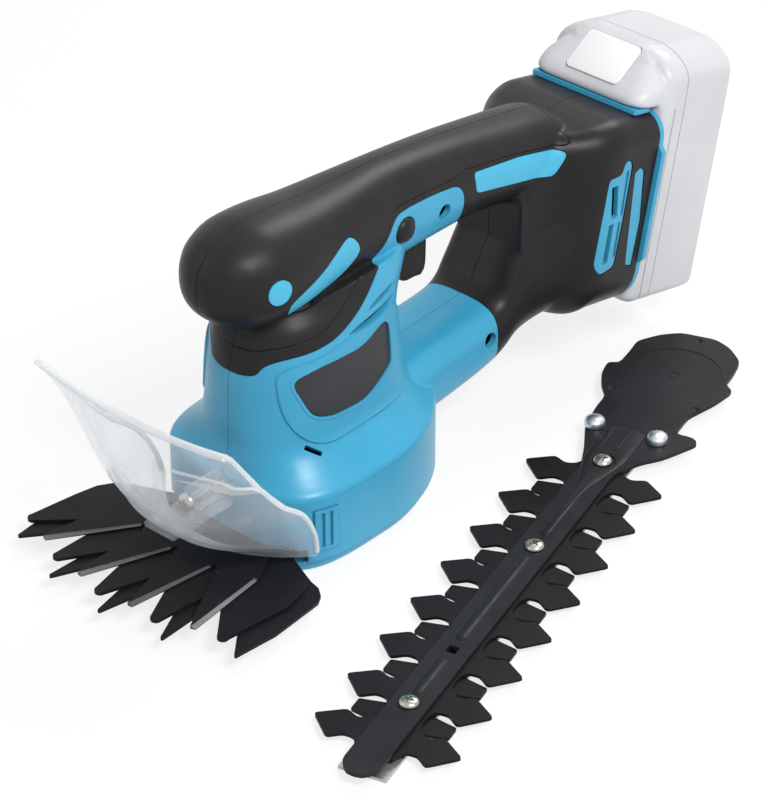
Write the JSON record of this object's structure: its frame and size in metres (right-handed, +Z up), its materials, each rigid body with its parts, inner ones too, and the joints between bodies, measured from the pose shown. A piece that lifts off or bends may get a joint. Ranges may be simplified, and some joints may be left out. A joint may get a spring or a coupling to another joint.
{
  "type": "cordless garden shears",
  "caption": "Hand-held grass shears with an arched grip, comb blades, clear guard and slide battery; a hedge blade attachment lies beside it.",
  "frame": {"origin": "on the ground under the middle of the base cover", "axes": "-Y points along the grass blades, +X is the tool's left, where the hedge blade lies, and +Z is up"},
  "size_m": [0.261, 0.4175, 0.1673],
  "materials": {
    "blue_plastic": "satin moulded",
    "black_rubber": "matt soft grip",
    "dark_plastic": "fine texture",
    "pale_plastic": "satin",
    "white_label": "plain paper label",
    "clear_plastic": "clear",
    "black_steel": "black oxide",
    "ground_steel": "ground",
    "zinc_steel": "zinc plated"
  },
  "bodies": {
    "body": {"left_housing": "blue_plastic", "right_housing": "blue_plastic", "left_badge_panel": "dark_plastic", "right_badge_panel": "dark_plastic", "left_handle_shell": "dark_plastic", "right_handle_shell": "dark_plastic", "left_rubber_grip": "black_rubber", "right_rubber_grip": "black_rubber", "grip_strip": "blue_plastic", "grip_dot": "blue_plastic", "left_rear_inlay": "blue_plastic", "right_rear_inlay": "blue_plastic", "left_vent_frame": "blue_plastic", "right_vent_frame": "blue_plastic", "left_vent_strip": "blue_plastic", "right_vent_strip": "blue_plastic", "battery_rail_plate": "blue_plastic", "terminal_block": "dark_plastic", "switch_body": "dark_plastic", "trigger_pin": "zinc_steel", "handle_screw": "zinc_steel", "strut_screw": "zinc_steel", "motor_can": "zinc_steel", "gear_plate": "zinc_steel", "lower_blade": "black_steel", "comb_blade": "black_steel", "blade_bolt": "zinc_steel", "guard": "clear_plastic", "guard_screw": "zinc_steel", "battery_lead": "black_rubber", "motor_lead": "black_rubber"},
    "crank": {"crank_gear": "ground_steel"},
    "motor_rotor": {"motor_shaft": "ground_steel", "cooling_fan": "dark_plastic"},
    "moving_blade": {"upper_blade": "black_steel"},
    "trigger": {"trigger": "dark_plastic"},
    "lock_button": {"lock_button": "dark_plastic"},
    "battery": {"battery_top_case": "pale_plastic", "battery_bottom_case": "pale_plastic", "cell_block": "dark_plastic"},
    "battery_button": {"battery_button": "white_label"},
    "left_latch": {"left_latch": "blue_plastic"},
    "right_latch": {"right_latch": "blue_plastic"},
    "base_cover": {"base_cover": "blue_plastic"},
    "hedge_attachment": {"hedge_guide_bar": "black_steel", "hedge_fixed_blade": "black_steel", "hedge_lower_strip": "zinc_steel", "hedge_drive_cup": "dark_plastic", "hedge_stud_left": "zinc_steel", "hedge_stud_right": "zinc_steel", "hedge_screw_1": "zinc_steel", "hedge_screw_2": "zinc_steel", "hedge_screw_3": "zinc_steel"},
    "hedge_blade": {"hedge_moving_blade": "black_steel"}
  },
  "joints": [
    {"name": "crank_spin", "type": "hinge", "parent": "body", "child": "crank", "pos_m": [0, 0.022, 0.03], "axis": [0, 0, 1], "continuous": true},
    {"name": "motor_spin", "type": "hinge", "parent": "body", "child": "motor_rotor", "pos_m": [0, -0.008, 0.06], "axis": [0, 0, 1], "continuous": true},
    {"name": "blade_swing", "type": "hinge", "parent": "body", "child": "moving_blade", "pos_m": [0, 0.0045, 0.0126], "axis": [0, 0, 1], "range_deg": [-4.05, 8.95]},
    {"name": "trigger_pull", "type": "hinge", "parent": "body", "child": "trigger", "pos_m": [0, 0.046, 0.119], "axis": [1, 0, 0], "range_deg": [0, 8], "stiffness_Nm_per_rad": 0.3, "springref_deg": -11.46},
    {"name": "lock_push", "type": "slide", "parent": "body", "child": "lock_button", "axis": [1, 0, 0], "range_m": [-0.003, 0.003], "stiffness_N_per_m": 400},
    {"name": "battery_slide", "type": "slide", "parent": "body", "child": "battery", "axis": [0, 0.225, 0.9744], "range_m": [0, 0.09]},
    {"name": "battery_button_press", "type": "slide", "parent": "battery", "child": "battery_button", "axis": [0, 0.5045, -0.8634], "range_m": [0, 0.003], "stiffness_N_per_m": 600, "springref_m": -0.002},
    {"name": "left_latch_press", "type": "slide", "parent": "body", "child": "left_latch", "axis": [-1, 0, 0], "range_m": [0, 0.003], "stiffness_N_per_m": 800, "springref_m": -0.002},
    {"name": "right_latch_press", "type": "slide", "parent": "body", "child": "right_latch", "axis": [1, 0, 0], "range_m": [0, 0.003], "stiffness_N_per_m": 800, "springref_m": -0.002},
    {"name": "base_cover_pull", "type": "slide", "parent": "body", "child": "base_cover", "axis": [0, 0, -1], "range_m": [0, 0.03]},
    {"name": "hedge_draw_away", "type": "slide", "parent": "body", "child": "hedge_attachment", "axis": [1, 0, 0], "range_m": [0, 0.1]},
    {"name": "hedge_blade_slide", "type": "slide", "parent": "hedge_attachment", "child": "hedge_blade", "axis": [0.2622, -0.965, 0], "range_m": [-0.0075, 0.0075]}
  ],
  "couplings": [
    {"joint": "motor_spin", "follows": "crank_spin", "ratio": -5}
  ]
}
